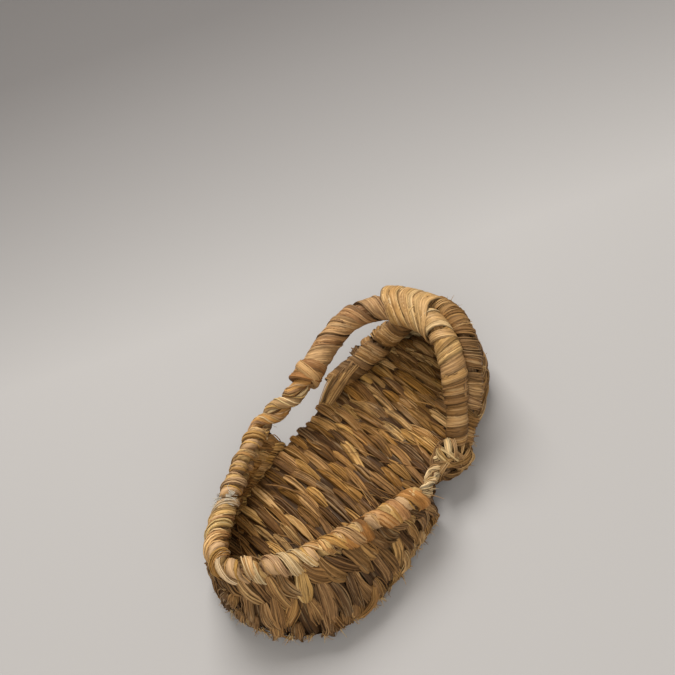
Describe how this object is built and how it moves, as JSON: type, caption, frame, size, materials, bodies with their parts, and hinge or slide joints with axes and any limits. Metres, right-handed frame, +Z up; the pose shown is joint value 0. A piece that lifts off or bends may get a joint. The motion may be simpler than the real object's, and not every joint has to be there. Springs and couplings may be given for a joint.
{
  "type": "straw sandal",
  "caption": "Small hand-woven straw sandal: woven mat sole, upright strand wall and rope rim round the toe, low heel counter and a wrapped cord strap over the heel.",
  "frame": {"origin": "on the floor under the middle of the sandal's length and width", "axes": "+Z up, the toe points to -Y, the heel to +Y, and +X is the side with the tight strap leg"},
  "size_m": [0.0794, 0.1446, 0.0481],
  "materials": {
    "sole_straw": "dry matte rice straw, flat crosswise strips",
    "wall_straw": "dry matte rice straw, twisted upright strands",
    "rope_straw": "twisted straw rope, satin",
    "wrap_straw": "smooth flat straw strips wound close, satin",
    "knot_straw": "smooth flat straw strips wound tight, satin"
  },
  "bodies": {
    "root": {"sole": "sole_straw", "toe_wall": "wall_straw", "toe_rim_cord": "rope_straw", "heel_counter": "wall_straw", "heel_strap": "wrap_straw", "strap_binding": "wrap_straw", "strap_knot_left": "knot_straw", "strap_knot_right": "knot_straw", "tie_cord_left": "rope_straw", "tie_cord_right": "rope_straw"}
  },
  "joints": []
}
